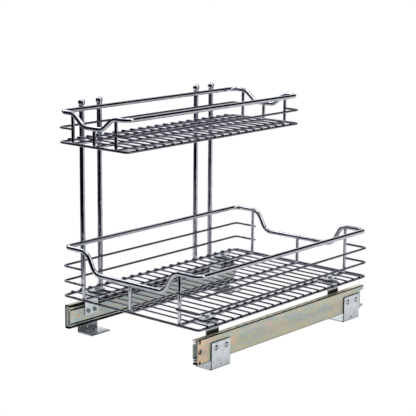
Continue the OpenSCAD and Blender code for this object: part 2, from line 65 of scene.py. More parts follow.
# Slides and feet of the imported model: faces of the slides' outer and inner members from the middle,
# middle height and half height of the slides, then the feet's outer face, height, place, sheet and
# rivets
SLIDE_X, SLIDE_INNER_X, SLIDE_MID_Z, SLIDE_HALF_H = 152.0, 139.3, 36.5, 21.0
SLIDE_LOW_Z = SLIDE_MID_Z - SLIDE_HALF_H
FOOT_X, FOOT_H, FOOT_Y, FOOT_SHEET, RIVET_SPREAD, RIVET_Z = 154.0, 45.7, 182.0, 2.0, 25.0, 35.9

# How far welded wires sink into each other, and a leg's end into the top rail
WELD, LEG_WELD = 0.3, 1.2
# Weld beads' half sizes along X, Y and Z, and those of a post's beads by what it is welded to
BEADS = {"runner": (1.7, 2.1, 0.7), "frame": (1.5, 1.8, 0.6), "leg": (2.5, 0.9, 2.3),
         "top": (3.7, 3.6, 1.3), "foot": (2.4, 1.0, 1.9)}
POST_BEADS = {"top": (0.9, 2.6, 3.0), "frame": (0.9, 2.6, 2.0), "side": (0.9, 2.6, 1.9)}

# Heights between the layers of welded wires, and how far in the legs stand
FRAME_TO_FLOOR = (FRAME_D + FLOOR_D) / 2 - WELD
FLOOR_TO_RUNNER = (FLOOR_D + LEG_D) / 2 - WELD
LEG_TO_SIDE = (LEG_D + SIDE_D) / 2 - WELD
LEG_REACH = LEG_BEND + (LEG_D + FRAME_D) / 2 - WELD
LEG_IN = math.sqrt(LEG_REACH ** 2 - (LEG_BEND - (LEG_D - FRAME_D) / 2) ** 2) - LEG_BEND

# Posts stand against the basket's top rail, half way between two floor wires
POST_X = -BASKET["width"] / 2 - RAIL_D / 2 - POST_D / 2 + WELD
POST_BOTTOM, CAP_Z = 68.4, 400.95
PITCH = (BASKET["depth"] - 2 * BASKET["margin"]) / (BASKET["wires"] - 1)
FIRST_WIRE_Y = BASKET["at"][1] - BASKET["depth"] / 2 + BASKET["margin"]
POST_Y = [FIRST_WIRE_Y + k * PITCH for k in (1.5, 3.5, 15.5, 17.5)]

# Limits between which films and shades fade out or in, on the slides along X, Y and Z
SHADED_LIPS = (144.0, 147.0)
FRONT_FILM, TRACK_SHADE_END = (-236.0, -190.0), (-233.0, -226.0)
LIT_FRONT_END, SHADED_REST = (-229.5, -221.5), (-200.0, -150.0)
OLIVE_PART, DARK_LOW_BEND = (SLIDE_LOW_Z, SLIDE_LOW_Z + 24.0), (SLIDE_LOW_Z + 0.9, SLIDE_LOW_Z + 1.7)
# On the slides above and below their middle height
SHADED_TRACK, DARKER_MIDDLE = (13.0, 14.5), (0.0, 0.6 * SLIDE_HALF_H)
# On the feet and brackets, along X for the first and along Z for the others
FOOT_ENDS = (148.0, SLIDE_X)
FLANGE_RIM, FLANGE, LOWER_PLATE, UPPER_PLATE = (FOOT_SHEET, 2.5), (3.5, 5.0), (3.0, 18.0), (20.0, FOOT_H)
SHADED_FOOT, DARKEST_FOOT = (SLIDE_LOW_Z, SLIDE_LOW_Z + 2.0), (7.0, 13.0)
BRACKET_LOW, BRACKET_HIGH = (50.0, 55.0), (61.5, 63.5)

# Limits between which a face counts as looking along an axis or against it, and between which
# nearly all of a noise lies
SQUARE, AGAINST, NOISE = (0.6, 0.9), (-0.9, -0.6), (0.3, 0.7)
# Ramps that take a share, from -1 to 1, away from 1 or add it to 1
LESS, MORE = (-1.0, 1.0, 2.0, 0.0), (-1.0, 1.0, 0.0, 2.0)


def add(tree, kind, settings=None, inputs=None):
    """Adds a shader node, sets its own settings, and sets or links its inputs. The stops of a
    colour ramp are places with hex codes."""
    node = tree.nodes.new("ShaderNode" + kind)
    for key, value in (settings or {}).items():
        if key == "stops":
            ramp = node.color_ramp
            while len(ramp.elements) < len(value):
                ramp.elements.new(1.0)
            for element, (place, code) in zip(ramp.elements, value):
                element.position = place
                element.color = linear(code)
        else:
            setattr(node, key, value)
    for key, value in (inputs or {}).items():
        if isinstance(value, bpy.types.NodeSocket):
            tree.links.new(value, node.inputs[key])
        else:
            node.inputs[key].default_value = value
    return node


def linear(code):
    """Linear colour of an sRGB hex code: shares up to 0.04045 are divided by 12.92, and
    the others have 0.055 added, are divided by 1.055 and raised to the power 2.4."""
    c = np.array([int(code[i:i + 2], 16) / 255 for i in (1, 3, 5)])
    c = np.where(c <= 0.04045, c / 12.92, ((c + 0.055) / 1.055) ** 2.4)
    return (*c.tolist(), 1.0)


def per_mm(size):
    """Texture scale on Object coordinates, in metres, for a feature of that many millimetres."""
    return 1.0 / (size * MM)


def blank(name):
    """Empty node material, with its Object coordinates."""
    material = bpy.data.materials.new(name)
    material.use_nodes = True
    tree = material.node_tree
    tree.nodes.clear()
    return material, tree, add(tree, "TexCoord").outputs["Object"]


def product(tree, *parts):
    """Product of its parts. Each is a number, a socket, or a straight ramp: a socket, two limits,
    and the two values between which the ramp runs while the socket goes from limit to limit."""
    total = None
    for part in parts:
        if isinstance(part, tuple):
            value, low, high, start, end = part
            part = add(tree, "MapRange", None, {"Value": value, "From Min": low, "From Max": high,
                                                "To Min": start, "To Max": end}).outputs["Result"]
        if total is None:
            total = part
        else:
            total = add(tree, "Math", {"operation": "MULTIPLY"}, {0: total, 1: part}).outputs[0]
    return total


def measures(tree, xyz):
    """What slides, feet, brackets and rivets are shaded by: the place in millimetres, its parts,
    the distance from the middle plane, and how squarely a face looks up, to a side, to an end, or
    away from the middle plane."""
    place = add(tree, "VectorMath", {"operation": "SCALE"}, {"Vector": xyz, "Scale": 1 / MM})
    found = {"place": place.outputs["Vector"]}
    found["look"] = add(tree, "NewGeometry").outputs["True Normal"]
    parts = {}
    for key in ("place", "look"):
        bare = add(tree, "VectorMath", {"operation": "ABSOLUTE"}, {0: found[key]})
        parts[key] = add(tree, "SeparateXYZ", None, {"Vector": found[key]}).outputs
        parts["bare " + key] = add(tree, "SeparateXYZ", None, {"Vector": bare.outputs["Vector"]}).outputs
    found.update({"y": parts["place"]["Y"], "z": parts["place"]["Z"], "apart": parts["bare place"]["X"],
                  "up": parts["look"]["Z"], "level": parts["bare look"]["Z"],
                  "to side": parts["bare look"]["X"], "to end": parts["bare look"]["Y"]})
    found["outward"] = product(tree, parts["look"]["X"], (parts["place"]["X"], -1.0, 1.0, -1.0, 1.0))
    return found


def patch(tree, place, centre, stretch, limits, values):
    """Soft patch about a place in millimetres: a ramp on the distance from its centre, in a space
    that is stretched along the axes."""
    spot = add(tree, "VectorMath", {"operation": "MULTIPLY"}, {0: place, 1: stretch})
    middle = tuple(c * s for c, s in zip(centre, stretch))
    apart = add(tree, "VectorMath", {"operation": "DISTANCE"}, {0: spot.outputs["Vector"], 1: middle})
    return product(tree, (apart.outputs["Value"], *limits, *values))


def painted_crevice_shade(tree, reach, low, high, floor=0.03):
    """Painted shade in corners and narrow gaps: the share of open space within a reach in mm is
    stretched from two limits to the range from floor to 1."""
    hollow = add(tree, "AmbientOcclusion", {"samples": 6}, {"Distance": reach * MM})
    return product(tree, (hollow.outputs["AO"], low, high, floor, 1.0))


def surface(tree, inputs, keep=None):
    """Ends a material in one principled shader. Where a share to keep is given, the base colour is
    multiplied by it first."""
    if keep is not None:
        tinted = add(tree, "VectorMath", {"operation": "SCALE"},
                     {"Vector": inputs["Base Color"], "Scale": keep})
        inputs = {**inputs, "Base Color": tinted.outputs["Vector"]}
    shader = add(tree, "BsdfPrincipled", None, inputs)
    add(tree, "OutputMaterial", None, {"Surface": shader.outputs["BSDF"]})


def bright_chrome(name, shade, gloss_range):
    """Decorative chrome on bright nickel over drawn steel wire. The eye sees a cool mirror that
    is broken a little by the drawn wire's ripple and by faint wiping haze. Real die marks are
    finer than a tenth of a millimetre, and the ripple is drawn at 3 mm so that it shows."""
    material, tree, xyz = blank(name)
    haze = add(tree, "TexNoise", None, {"Vector": xyz, "Scale": per_mm(14.0), "Detail": 3.0}).outputs["Fac"]
    tint = add(tree, "ValToRGB", {"stops": [(0.35, shade[0]), (0.65, shade[1])]}, {"Fac": haze})
    ripple = add(tree, "TexNoise", None, {"Vector": xyz, "Scale": per_mm(3.0), "Detail": 2.0})
    bump = add(tree, "Bump", None, {"Strength": 0.35, "Distance": 0.06 * MM, "Height": ripple.outputs["Fac"]})
    surface(tree, {"Base Color": tint.outputs["Color"], "Metallic": 1.0,
                   "Roughness": product(tree, (haze, *NOISE, *gloss_range)),
                   "Normal": bump.outputs["Normal"]})
    return material


def plate_shade_and_light(tree, xyz):
    """Painted shade and light of the feet and brackets, which are cut from plate and bent."""
    at = measures(tree, xyz)
    # Cut edges, the plates' ends, mostly the feet's, the rims of the flanges and the top edges, are
    # painted dark as shade
    cut = product(tree, (at["to end"], *SQUARE, 0.0, 1.0), (at["apart"], *FOOT_ENDS, 0.0, 0.9))
    rim = product(tree, (at["to side"], *SQUARE, 0.0, 1.0), (at["z"], *FLANGE_RIM, 0.75, 0.0))
    top = add(tree, "Math", {"operation": "COMPARE"}, {0: at["z"], 1: FOOT_H, 2: 0.2}).outputs[0]
    # Walls of the brackets stand in the shade of the slides that they lean on
    shaded = product(tree, (at["outward"], *SQUARE, 0.0, 0.93), (at["z"], *BRACKET_HIGH, 1.0, 0.0),
                     (at["z"], *BRACKET_LOW, 0.0, 1.0))
    # Walls of the feet are in shade below the slides
    below = product(tree, (at["outward"], *AGAINST, 1.0, 0.0), (at["z"], *SHADED_FOOT, 1.0, 0.0),
                    (at["z"], *DARKEST_FOOT, 0.64, 0.32))
    # Flanges of the feet are painted lighter, as lit by the pale floor all round
    flange = product(tree, (at["z"], *FLANGE, 0.8, 0.0), (at["up"], 0.7, 0.9, 0.0, 1.0))
    # Undersides are painted dark as shade, and the feet's plates are darker toward the floor and
    # lighter toward the top
    return product(tree, (at["up"], -0.9, -0.2, 0.3, 1.0), (at["z"], *LOWER_PLATE, 0.76, 1.0),
                   (at["z"], *UPPER_PLATE, 1.0, 1.1), (top, 0.0, 1.0, 1.0, 0.1),
                   (cut, *LESS), (rim, *LESS), (shaded, *LESS), (below, *LESS), (flange, *MORE))


def blue_zinc(name, shade, rough, with_plate_shade=False):
    """Blue passivated zinc on pressed steel. The eye sees a bluish white satin metal with a fine
    sparkle of zinc crystals, soft cloudy patches where the bath drained, and painted shade in
    corners and narrow gaps; on the feet and brackets the cut edges are painted dark as shade. Real
    crystals and pores are about 0.1 mm, too fine to show, and are drawn at 1.6 and 0.8 mm."""
    material, tree, xyz = blank(name)
    cloud = add(tree, "TexNoise", None, {"Vector": xyz, "Scale": per_mm(11.0), "Detail": 4.0})
    body = add(tree, "ValToRGB", {"stops": list(zip((0.3, 0.5, 0.72), shade))}, {"Fac": cloud.outputs["Fac"]})
    crystal = add(tree, "TexVoronoi", None, {"Vector": xyz, "Scale": per_mm(1.6)})
    grain = add(tree, "SeparateColor", None, {"Color": crystal.outputs["Color"]}).outputs
    # Crystals vary in tone, and corners and narrow gaps get painted shade
    keep = product(tree, (grain["Red"], 0.0, 1.0, 0.86, 1.06), painted_crevice_shade(tree, 3.0, 0.25, 0.75, 0.45))
    if with_plate_shade:
        keep = product(tree, keep, plate_shade_and_light(tree, xyz))
    pores = add(tree, "TexNoise", None, {"Vector": xyz, "Scale": per_mm(0.8), "Detail": 2.0})
    bump = add(tree, "Bump", None, {"Strength": 0.3, "Distance": 0.04 * MM, "Height": pores.outputs["Fac"]})
    surface(tree, {"Base Color": body.outputs["Color"], "Metallic": 0.8,
                   "Roughness": product(tree, (grain["Green"], 0.0, 1.0, rough - 0.07, rough + 0.08)),
                   "Normal": bump.outputs["Normal"]}, keep)
    return material


def rivet_zinc():
    """Zinc plate worn by the riveting punch. The eye sees a bright dished head whose upper rim, which
    looks down, is painted in deep shade and whose slope is painted grey as shade."""
    material, tree, xyz = blank("blue passivated zinc on punched rivets")
    at = measures(tree, xyz)
    wear = add(tree, "TexNoise", None, {"Vector": xyz, "Scale": per_mm(2.0), "Detail": 2.0})
    tint = add(tree, "ValToRGB", {"stops": [(0.3, "#a3abb2"), (0.7, "#ced5d9")]},
               {"Fac": wear.outputs["Fac"]})
    surface(tree, {"Base Color": tint.outputs["Color"], "Metallic": 0.8, "Roughness": 0.3},
            product(tree, (at["up"], -0.3, -0.04, 0.02, 1.0), (at["to side"], 0.88, 0.97, 0.4, 1.0)))
    return material


def yellow_zinc(name, stops, centre_lift, front_change=0.0, spots=(), marks=(), metal=0.8,
                bend_line_shade=0.85, corner_shade=0.03, lip_shade=False, low_share=0.0, middle_shade=1.0,
                end_shade=0.5, front_metal=None, lift=1.0, low_lift=1.0):
    """Yellow chromate on zinc plated, cold rolled strip. The eye sees a satin metal whose thin
    chromate film shifts from tan through beige and olive to green and grey as it gets thicker, in
    patches drawn out along the strip, with fine rolling lines, a dark line of painted reflection
    along every polished bend, and painted shade in corners and in the tracks. Real rolling lines are
    finer than a tenth of a millimetre, and are drawn at 1.1 mm so that they show."""
    material, tree, xyz = blank(name)
    at = measures(tree, xyz)
    offset = add(tree, "Math", {"operation": "SUBTRACT"}, {0: at["z"], 1: SLIDE_MID_Z}).outputs[0]
    off_middle = add(tree, "Math", {"operation": "ABSOLUTE"}, {0: offset}).outputs[0]

    # The film is thickest along the middle of the strip's height
    square = product(tree, offset, offset)
    changes = [product(tree, (square, 0.0, SLIDE_HALF_H ** 2, centre_lift, 0.0))]
    # It differs at the front end, which hung lowest in the bath, and in a few drips
    if front_change:
        changes.append(product(tree, (at["y"], *FRONT_FILM, front_change, 0.0)))
    for x, y, z, reach, change in spots:
        changes.append(patch(tree, at["place"], (x, y, z), (1.0, 0.5, 1.0), (0.2 * reach, reach),
                             (change, 0.0)))
    drawn = add(tree, "Mapping", None, {"Vector": xyz, "Scale": (1.0, 0.27, 1.0)})
    drift = add(tree, "TexNoise", None, {"Vector": drawn.outputs["Vector"], "Scale": per_mm(6.0),
                                         "Detail": 4.0, "Distortion": 0.5})
    film = add(tree, "MapRange", {"clamp": False},
               {"Value": drift.outputs["Fac"], "From Min": 0.32, "From Max": 0.68,
                "To Min": 0.18, "To Max": 0.85})
    thick = film.outputs["Result"]
    for change in changes:
        thick = add(tree, "Math", {"operation": "ADD"}, {0: thick, 1: change}).outputs[0]
    colour = add(tree, "ValToRGB", {"stops": stops}, {"Fac": thick}).outputs["Color"]

    # The lower part may be more olive, and the upper edges are rubbed down to the grey zinc
    tones = [((at["up"], 0.55, 0.9, 0.0, 1.0), "#aea994")]
    if low_share:
        tones.insert(0, ((at["z"], *OLIVE_PART, low_share, 0.0), "#b1a987"))
    for share, code in tones:
        colour = add(tree, "Mix", {"data_type": "RGBA"},
                     {"Factor": product(tree, share), "A": colour, "B": linear(code)}).outputs["Result"]

    rolled = add(tree, "Mapping", None, {"Vector": xyz, "Scale": (1.0, 0.02, 1.0)})
    lines = add(tree, "TexNoise", None, {"Vector": rolled.outputs["Vector"], "Scale": per_mm(1.1),
                                         "Detail": 3.0}).outputs["Fac"]
    speckle = add(tree, "TexNoise", None, {"Vector": xyz, "Scale": per_mm(2.2), "Detail": 2.0})
    # Bends are polished glossier by the rolls and carry a painted dark reflection, the lowest bend and
    # the underside are painted dark as shade, and upper faces are painted lighter or darker, as they
    # catch more or less light, in the strip's upper and lower half
    slant = product(tree, at["to side"], at["level"])
    caught = product(tree, (at["up"], 0.7, 0.95, 0.0, 1.0),
                     (offset, -1.0, 1.0, low_lift - 1.0, lift - 1.0))
    shades = [(lines, *NOISE, 0.95, 1.04), (speckle.outputs["Fac"], *NOISE, 0.9, 1.08),
              (at["up"], -0.9, -0.4, 0.45, 1.0), (caught, *MORE),
              (at["z"], *DARK_LOW_BEND, 0.15, 1.0)]
    if end_shade < 1.0:
        shades.append((at["to end"], *SQUARE, 1.0, end_shade))
    # Corners and narrow gaps get painted shade
    if corner_shade < 1.0:
        shades.append(painted_crevice_shade(tree, 5.0, 0.45, 0.9, corner_shade))
    # A dark line of painted reflection runs along the bends
    if bend_line_shade:
        shades.append((slant, 0.1, 0.3, 1.0, 1.0 - bend_line_shade))
    if middle_shade < 1.0:
        shades.append((off_middle, *DARKER_MIDDLE, middle_shade, 1.0))
    if lip_shade:
        # Lips, and the front end of the track behind the balls, are painted black as the shade in the gaps
        # between the members
        lips = product(tree, (at["apart"], *SHADED_LIPS, 1.0, 0.0))
        track = product(tree, (off_middle, *SHADED_TRACK, 1.0, 0.0), (at["y"], *TRACK_SHADE_END, 1.0, 0.0))
        gap_shade = add(tree, "Math", {"operation": "MAXIMUM"}, {0: lips, 1: track}).outputs[0]
        shades.append((product(tree, (at["outward"], -0.8, -0.5, 0.92, 0.0), gap_shade), *LESS))
    for x, y, z, size, tall in marks:
        # Punched marks at the front end are painted black as the shade in their holes
        shades.append(patch(tree, at["place"], (x, y, z), (1.0, 1.0, 1.0 / tall),
                            (0.8 * size, 1.2 * size), (0.04, 1.0)))
    if front_metal is not None:
        # The front ends of the pale strips are less metallic and painted lighter, as lit from the front,
        # and the rest is painted darker, as shaded by the basket
        metal = product(tree, (at["y"], *LIT_FRONT_END, front_metal, metal))
        shades += [(at["y"], *LIT_FRONT_END, 1.5, 1.0), (at["y"], *SHADED_REST, 1.0, 0.84)]
    keep = product(tree, *shades)

    bump = add(tree, "Bump", None, {"Strength": 0.25, "Distance": 0.03 * MM, "Height": lines})
    # Dark places don't shine at the edge of sight either
    tint = add(tree, "Math", {"operation": "MINIMUM"}, {0: keep, 1: 1.0}).outputs[0]
    gloss = product(tree, (lines, *NOISE, 0.36, 0.5), (slant, 0.1, 0.3, 1.0, 0.4),
                    (at["up"], 0.7, 0.95, 1.0, 0.45))
    surface(tree, {"Base Color": colour, "Metallic": metal, "Specular Tint": tint,
                   "Roughness": gloss, "Normal": bump.outputs["Normal"]}, keep)
    return material


def bright_steel():
    """Hardened bright steel of balls and thin pressed cages under a film of grease. The eye sees a
    neutral metal, painted dark as the shade inside the slides, with painted shade in corners, and
    darker still where the grease is thick."""
    material, tree, xyz = blank("bright steel with grease and painted shade")
    film = add(tree, "TexNoise", None, {"Vector": xyz, "Scale": per_mm(6.0), "Detail": 3.0}).outputs["Fac"]
    tint = add(tree, "ValToRGB", {"stops": [(0.35, "#3c3d3d"), (0.65, "#626465")]}, {"Fac": film})
    surface(tree, {"Base Color": tint.outputs["Color"], "Metallic": 1.0,
                   "Roughness": product(tree, (film, *NOISE, 0.16, 0.32))},
            painted_crevice_shade(tree, 5.0, 0.3, 0.9))
    return material


def moulded_black():
    """Black moulded acetal of the end buffers. The eye sees a dark waxy plastic with the fine
    grain of a spark eroded mould, which is about 0.1 mm in fact and is drawn at 0.7 mm."""
    material, tree, xyz = blank("black moulded acetal")
    grain = add(tree, "TexNoise", None, {"Vector": xyz, "Scale": per_mm(0.7), "Detail": 2.0}).outputs["Fac"]
    tint = add(tree, "ValToRGB", {"stops": [(0.3, "#1b1c1e"), (0.7, "#26272a")]}, {"Fac": grain})
    bump = add(tree, "Bump", None, {"Strength": 0.4, "Distance": 0.05 * MM, "Height": grain})
    surface(tree, {"Base Color": tint.outputs["Color"], "Roughness": 0.42, "IOR": 1.48,
                   "Normal": bump.outputs["Normal"]})
    return material


CHROME = bright_chrome("bright chrome on drawn steel wire", ("#a8aab2", "#b9bbc3"), (0.04, 0.1))
# Thin wires get a darker copy of the chrome, a painted dark reflection of the shaded floor below them
DARKENED_CHROME = bright_chrome("bright chrome on thin wire, painted darker", ("#5f606d", "#72737f"), (0.05, 0.12))
ZINC = blue_zinc("blue passivated zinc on pressed steel", ("#bcc4c8", "#cdd4d8", "#dadfe2"), 0.34, True)
SCREW_ZINC = blue_zinc("blue passivated zinc on screws", ("#66737e", "#7b8893", "#929da7"), 0.26)
RIVET_ZINC = rivet_zinc()
# Spots are a place, a reach and a change of the film, and marks a place, a radius and a slimness
YELLOW = yellow_zinc(
    "yellow chromate zinc on rolled strip",
    [(0.0, "#e9cbab"), (0.16, "#dcc1ad"), (0.3, "#cdb9ac"), (0.44, "#c8c1af"), (0.56, "#c1c0a8"),
     (0.7, "#acc1b3"), (0.84, "#b8b3bd"), (1.0, "#c6b2ae")], 0.16, front_change=-0.5,
    spots=((SLIDE_X, -149.0, 38.0, 10.0, -0.8), (SLIDE_X, -222.0, 46.0, 10.0, -0.2),
           (SLIDE_X, -96.0, 46.0, 9.0, 0.24), (SLIDE_X, -36.0, 34.0, 20.0, -0.24),
           (SLIDE_X, 76.0, 34.0, 20.0, 0.07), (SLIDE_X, 138.0, 36.0, 20.0, -0.18)),
    marks=((SLIDE_X, -231.6, 53.5, 2.1, 2.0), (SLIDE_X, -231.8, 18.9, 2.1, 1.8),
           (SLIDE_X, -231.2, 37.2, 4.0, 1.0)),
    bend_line_shade=0.94, low_share=0.5, middle_shade=0.88, lift=1.6)
# The left strip and the middle members kept a thinner, greyer film
PALE = yellow_zinc(
    "pale chromate zinc on rolled strip",
    [(0.0, "#b4b0a4"), (0.3, "#b2b3ac"), (0.6, "#a9afad"), (1.0, "#b0ae9f")], 0.1, metal=1.0,
    lip_shade=True, corner_shade=0.3, end_shade=0.03, low_lift=0.03)
PALE_MIDDLE = yellow_zinc(
    "pale chromate zinc on middle strip",
    [(0.0, "#d5d0c8"), (0.3, "#d8d7d1"), (0.6, "#d2d6d5"), (1.0, "#d6d4ca")], 0.1, metal=1.0,
    bend_line_shade=0.0, corner_shade=1.0, end_shade=0.95, front_metal=0.0, low_lift=0.03)
PALE_INNER = yellow_zinc(
    "pale chromate zinc on rolled inner strip",
    [(0.0, "#d2aa86"), (0.14, "#c9b7a3"), (0.3, "#c5c2b5"), (0.5, "#bfc0b7"), (0.7, "#abc1bf"),
     (0.85, "#bfbdb3"), (1.0, "#c5beae")], 0.1, front_change=0.12,
    spots=((-SLIDE_INNER_X, -216.0, 37.0, 4.5, -0.8), (SLIDE_INNER_X, -216.0, 37.0, 4.5, -0.8),
           (-SLIDE_INNER_X, -224.0, 45.0, 6.0, 0.2)),
    corner_shade=0.85, end_shade=1.0, front_metal=0.0, low_lift=0.4)
STEEL = bright_steel()
BLACK = moulded_black()


def unit(v):
    """Vectors divided by their lengths."""
    return v / np.linalg.norm(v, axis=-1, keepdims=True)


def bent(corners, bends, closed=False, turn_step=9.0):
    """Centreline of a bent wire as points and unit tangents. Each inner corner becomes an arc that
    touches both of its straight runs: the arc's centre, plus the radius times the sine of the turn
    along the first run, less the radius times its cosine inwards. It has a station at every
    turn_step degrees of turn or less."""
    p = np.asarray(corners, float)
    n = len(p)
    points, tangents = [], []
    for i in range(n):
        if not closed and i in (0, n - 1):
            t = unit(p[1] - p[0]) if i == 0 else unit(p[-1] - p[-2])
            points.append(p[i][None])
            tangents.append(t[None])
            continue
        u, w = unit(p[i] - p[i - 1]), unit(p[(i + 1) % n] - p[i])
        angle = math.acos(float(np.clip(u @ w, -1, 1)))
        centre = p[i] + unit(w - u) * bends[i] / math.cos(angle / 2)
        steps = max(2, int(math.ceil(math.degrees(angle) / turn_step)))
        a = np.linspace(0, angle, steps + 1)[:, None]
        inward = unit(w - u * (u @ w))
        points.append(centre + bends[i] * (u * np.sin(a) - inward * np.cos(a)))
        tangents.append(u * np.cos(a) + inward * np.sin(a))
    return np.concatenate(points), np.concatenate(tangents)


def grid_faces(rows, columns, wrap_rows=False):
    """Quads of a grid whose columns close on themselves, and whose rows may."""
    r = np.arange(rows if wrap_rows else rows - 1)[:, None]
    c = np.arange(columns)[None]
    r2, c2 = (r + 1) % rows, (c + 1) % columns
    return np.stack([r * columns + c, r * columns + c2, r2 * columns + c2, r2 * columns + c],
                    -1).reshape(-1, 4)


def end_faces(rows, columns):
    """One face over each open end of such a grid, looking away from it."""
    ring = np.arange(columns)
    return np.stack([ring[::-1], ring + (rows - 1) * columns])


def turned(radius, along, columns):
    """Outline of radius against length turned round an axis, and closed at both ends: each point
    is the radius times the cosine and the sine of the turn, and the length."""
    t = np.linspace(0, 2 * math.pi, columns, endpoint=False)[None]
    skin = np.stack([radius[:, None] * np.cos(t), radius[:, None] * np.sin(t), along[:, None] + 0 * t], -1)
    rows = len(radius)
    return skin.reshape(-1, 3), [grid_faces(rows, columns), end_faces(rows, columns)]


def tube(path, diameter, across, sides, closed=False, tip=0.3):
    """Round wire: a circle of the given diameter carried along the centreline. Its two axes are the
    cross product of one direction, which no part of the wire runs along, with the tangent, and the
    cross product of the tangent with that axis. An open wire ends in shallow domes, whose radius
    is the cosine and whose length is the sine of the same angle. A last station just before each
    dome keeps the dome's shading off the straight run."""
    points, tangents = path
    radii = np.full(len(points), diameter / 2)
    if not closed:
        a = np.radians([80.0, 55.0, 28.0])
        dome = tip * diameter / 2
        back = np.concatenate([(1 - np.sin(a)) * dome, [dome, dome + diameter / 4]])[:, None]
        points = np.concatenate([points[0] + tangents[0] * back, points[1:-1],
                                 points[-1] - tangents[-1] * back[::-1]])
        tangents = np.concatenate([np.repeat(tangents[:1], 4, 0), tangents,
                                   np.repeat(tangents[-1:], 4, 0)])
        cap = radii[0] * np.cos(a)
        radii = np.concatenate([cap, radii[:1], radii, radii[-1:], cap[::-1]])
    side = unit(np.cross(np.asarray(across, float), tangents))
    up = np.cross(tangents, side)
    t = np.linspace(0, 2 * math.pi, sides, endpoint=False)[None, :, None]
    skin = points[:, None] + radii[:, None, None] * (side[:, None] * np.cos(t) + up[:, None] * np.sin(t))
    blocks = [grid_faces(len(points), sides, closed)]
    if not closed:
        blocks.append(end_faces(len(points), sides))
    return skin.reshape(-1, 3), blocks


def beads(places, half_sizes):
    """Weld beads: at each place one ellipsoid, a half circle turned round Z with its poles cut off
    flat, times the three half sizes."""
    a = np.radians(np.linspace(-75, 75, 5))
    ball, blocks = turned(np.cos(a), np.sin(a), 9)
    return [(np.asarray(place, float) + ball * half_sizes, blocks) for place in places]


def piece(name, parts, material, body, stands_for=()):
    """One object from surfaces in millimetres, smooth shaded, riding on a body."""
    points, faces, count = [], [], 0
    for skin, blocks in parts:
        points.append(skin)
        for block in blocks:
            faces += (block + count).tolist()
        count += len(skin)
    mesh = bpy.data.meshes.new(name)
    mesh.from_pydata((np.concatenate(points) * MM).tolist(), [], faces)
    mesh.polygons.foreach_set("use_smooth", np.ones(len(mesh.polygons), bool))
    mesh.update()
    mesh.materials.append(material)
    made = bpy.data.objects.new(name, mesh)
    bpy.context.scene.collection.objects.link(made)
    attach(made, body)
    if stands_for:
        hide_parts(*stands_for)
    return made


X, Y, Z = (1, 0, 0), (0, 1, 0), (0, 0, 1)
SIDES = (("left", -1), ("right", 1))


def top_rail(tray):
    """Closed rail that dips at the front and the rear, with round bends at all twelve corners."""
    w, d, z, dip, at = tray["width"] / 2, tray["depth"] / 2, tray["height"], tray["dip"], np.array(tray["at"])
    high_x = tray["dip_x"]
    low_x = high_x - dip / math.tan(math.radians(tray["slope"]))
    front = np.array([[-w, -d, z], [-high_x, -d, z], [-low_x, -d, z - dip],
                      [low_x, -d, z - dip], [high_x, -d, z], [w, -d, z]])
    ring = np.concatenate([front, front * (-1, -1, 1)]) + at
    bend = [RAIL_BEND] + [tray["dip_bend"]] * 4 + [RAIL_BEND]
    return tube(bent(ring, bend * 2, closed=True), RAIL_D, Z, 20, closed=True)


def frame_half(tray):
    """Half width and half depth of the floor frame, between wire centres."""
    return tray["width"] / 2 + (RAIL_D - FRAME_D) / 2, tray["depth"] / 2 + (RAIL_D - FRAME_D) / 2


def leg_y(tray):
    """Distance of the legs from the tray's middle."""
    return frame_half(tray)[1] - LEG_IN


def floor_frame(tray):
    """Closed rectangle of wire with round corners."""
    x, y = frame_half(tray)
    ring = np.array([[-x, -y, 0], [x, -y, 0], [x, y, 0], [-x, y, 0]]) + np.array(tray["at"])
    return tube(bent(ring, [SIDE_BEND] * 4, closed=True), FRAME_D, Z, 14, closed=True)


def side_rail(tray, side, z):
    """Rail along one side, bent round both corners to the outer legs."""
    x = tray["width"] / 2 + (RAIL_D - SIDE_D) / 2
    y = leg_y(tray) + LEG_TO_SIDE
    end = tray["leg_x"] - LEG_D / 2
    run = np.array([[end, -y, z], [x, -y, z], [x, y, z], [end, y, z]]) * (side, 1, 1) + np.array(tray["at"])
    return tube(bent(run, [0, SIDE_BEND, SIDE_BEND, 0]), SIDE_D, Z, 14)


def wire_rows(tray):
    """Places of the floor wires along the tray."""
    pitch = (tray["depth"] - 2 * tray["margin"]) / (tray["wires"] - 1)
    return tray["margin"] - tray["depth"] / 2 + pitch * np.arange(tray["wires"])


def floor_wires(tray):
    """Straight wires across the frame, with both ends hooked down over its sides."""
    x, z = frame_half(tray)[0] + FRAME_TO_FLOOR, FRAME_TO_FLOOR
    made = []
    for y in wire_rows(tray):
        run = np.array([[-x, y, -HOOK_RUN], [-x, y, z], [x, y, z], [x, y, -HOOK_RUN]]) + np.array(tray["at"])
        made.append(tube(bent(run, [0, z, z, 0], turn_step=15.0), FLOOR_D, Y, 10))
    return made


def runner(tray, x, dip):
    """Wire under the floor, bent up at both ends into legs that reach into the top rail."""
    y = leg_y(tray)
    z = FRAME_TO_FLOOR - FLOOR_TO_RUNNER
    top = tray["height"] - dip - RAIL_D / 2 + LEG_WELD
    run = np.array([[x, -y, top], [x, -y, z], [x, y, z], [x, y, top]]) + np.array(tray["at"])
    return tube(bent(run, [0, LEG_BEND, LEG_BEND, 0]), LEG_D, X, 16)


